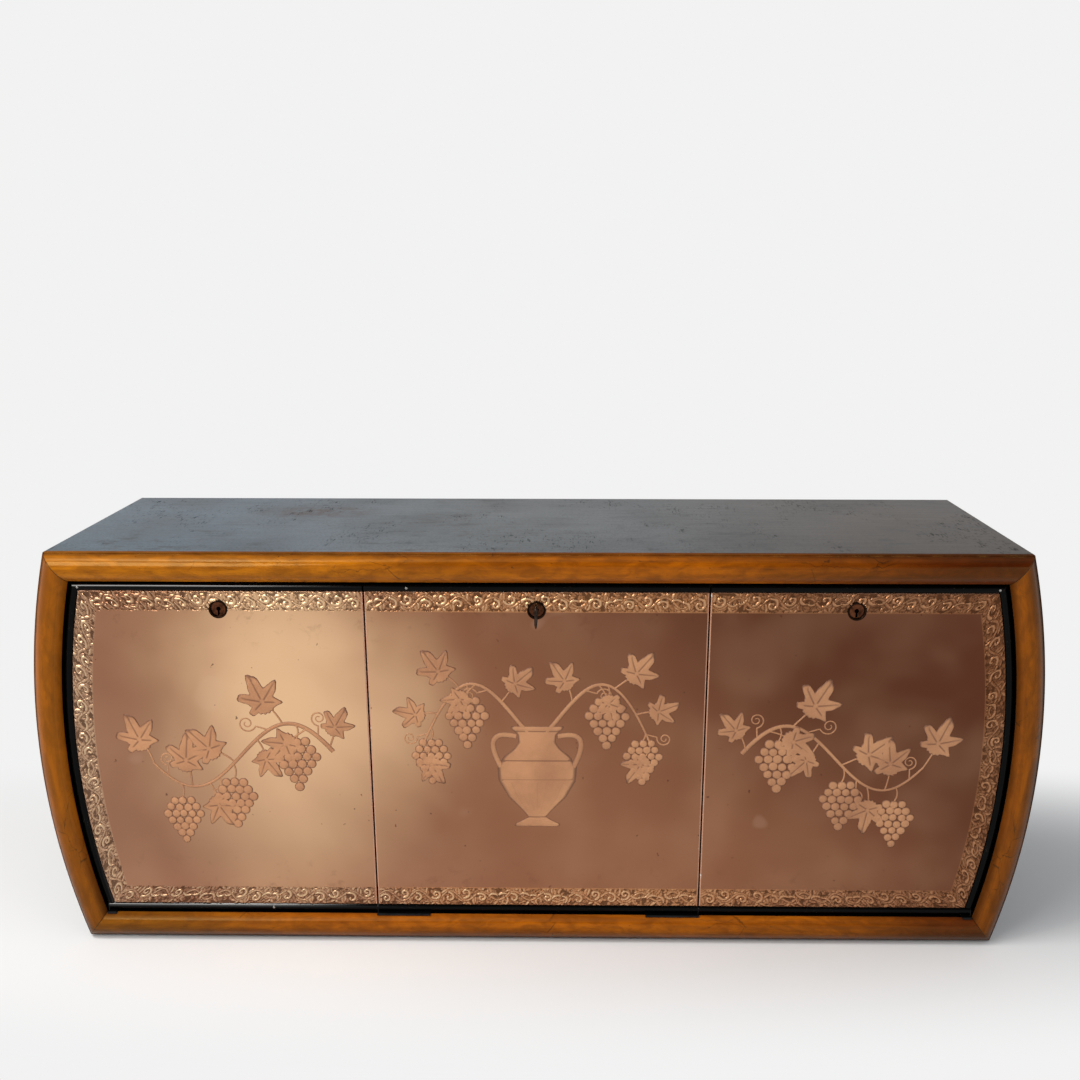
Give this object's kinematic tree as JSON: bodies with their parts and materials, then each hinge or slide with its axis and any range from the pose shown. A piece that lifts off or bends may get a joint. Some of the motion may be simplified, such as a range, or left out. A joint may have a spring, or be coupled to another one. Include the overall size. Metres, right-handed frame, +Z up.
{
  "type": "bar cabinet",
  "caption": "Low bowed bar cabinet with a cushion-moulded wood frame and mirrored fall flaps with locks, pivot brackets and quadrant stays.",
  "frame": {"origin": "middle of the underside of the case, on the floor", "axes": "+X to the right of a person facing the flaps, +Y to the back, +Z up"},
  "size_m": [1.4998, 0.454, 0.62],
  "materials": {
    "black_lacquer": "worn satin black lacquer",
    "honey_lacquer": "honey-coloured gloss lacquer",
    "maple_veneer": "clear satin lacquer over maple veneer",
    "back_ply": "stained plywood",
    "black_bead": "gloss black lacquer",
    "rose_mirror": "rose-tinted mirror with frosted relief",
    "shelf_glass": "clear polished",
    "brass": "aged polished brass",
    "lock_steel": "plain steel",
    "dark_steel": "blackened steel",
    "key_steel": "dark worn steel"
  },
  "bodies": {
    "carcass": {"top_board": "black_lacquer", "bottom_board": "black_lacquer", "left_side": "black_lacquer", "right_side": "black_lacquer", "top_rail": "honey_lacquer", "bottom_rail": "honey_lacquer", "left_stile": "honey_lacquer", "right_stile": "honey_lacquer", "left_partition": "maple_veneer", "right_partition": "maple_veneer", "back_panel": "back_ply", "left_shelf": "shelf_glass", "centre_shelf": "shelf_glass", "right_shelf": "shelf_glass", "left_keeper": "brass", "centre_left_keeper": "brass", "centre_right_keeper": "brass", "right_keeper": "brass", "left_strike": "brass", "centre_strike": "brass", "right_strike": "brass", "left_shelf_pins": "brass", "centre_shelf_pins": "brass", "right_shelf_pins": "brass", "pivot_pins": "lock_steel", "left_outer_bracket": "dark_steel", "left_joint_bracket": "dark_steel", "right_joint_bracket": "dark_steel", "right_outer_bracket": "dark_steel"},
    "left_flap": {"left_panel": "maple_veneer", "left_top_bead": "black_bead", "left_bottom_bead": "black_bead", "left_outer_bead": "black_bead", "left_mirror": "rose_mirror", "left_stay": "brass", "left_escutcheon": "brass", "left_lock_case": "lock_steel"},
    "left_bolt": {"left_bolt": "lock_steel"},
    "centre_flap": {"centre_panel": "maple_veneer", "centre_top_bead": "black_bead", "centre_bottom_bead": "black_bead", "centre_mirror": "rose_mirror", "centre_left_stay": "brass", "centre_right_stay": "brass", "centre_escutcheon": "brass", "centre_lock_case": "lock_steel"},
    "centre_bolt": {"centre_bolt": "lock_steel"},
    "right_flap": {"right_panel": "maple_veneer", "right_top_bead": "black_bead", "right_bottom_bead": "black_bead", "right_outer_bead": "black_bead", "right_mirror": "rose_mirror", "right_stay": "brass", "right_escutcheon": "brass", "right_lock_case": "lock_steel"},
    "right_bolt": {"right_bolt": "lock_steel"},
    "key": {"key": "key_steel"}
  },
  "joints": [
    {"name": "left_flap_fall", "type": "hinge", "parent": "carcass", "child": "left_flap", "pos_m": [0, -0.215, 0.051], "axis": [1, 0, 0], "range_deg": [0, 90]},
    {"name": "centre_flap_fall", "type": "hinge", "parent": "carcass", "child": "centre_flap", "pos_m": [0, -0.215, 0.051], "axis": [1, 0, 0], "range_deg": [0, 90]},
    {"name": "right_flap_fall", "type": "hinge", "parent": "carcass", "child": "right_flap", "pos_m": [0, -0.215, 0.051], "axis": [1, 0, 0], "range_deg": [0, 90]},
    {"name": "left_bolt_slide", "type": "slide", "parent": "left_flap", "child": "left_bolt", "axis": [0, 0, 1], "range_m": [0, 0.01]},
    {"name": "centre_bolt_slide", "type": "slide", "parent": "centre_flap", "child": "centre_bolt", "axis": [0, 0, 1], "range_m": [0, 0.01]},
    {"name": "right_bolt_slide", "type": "slide", "parent": "right_flap", "child": "right_bolt", "axis": [0, 0, 1], "range_m": [0, 0.01]},
    {"name": "key_turn", "type": "hinge", "parent": "centre_flap", "child": "key", "pos_m": [0, -0.219, 0.536], "axis": [0, 1, 0], "range_deg": [0, 180]}
  ],
  "couplings": [
    {"joint": "centre_bolt_slide", "follows": "key_turn", "m_per_rad": 0.0031831}
  ]
}
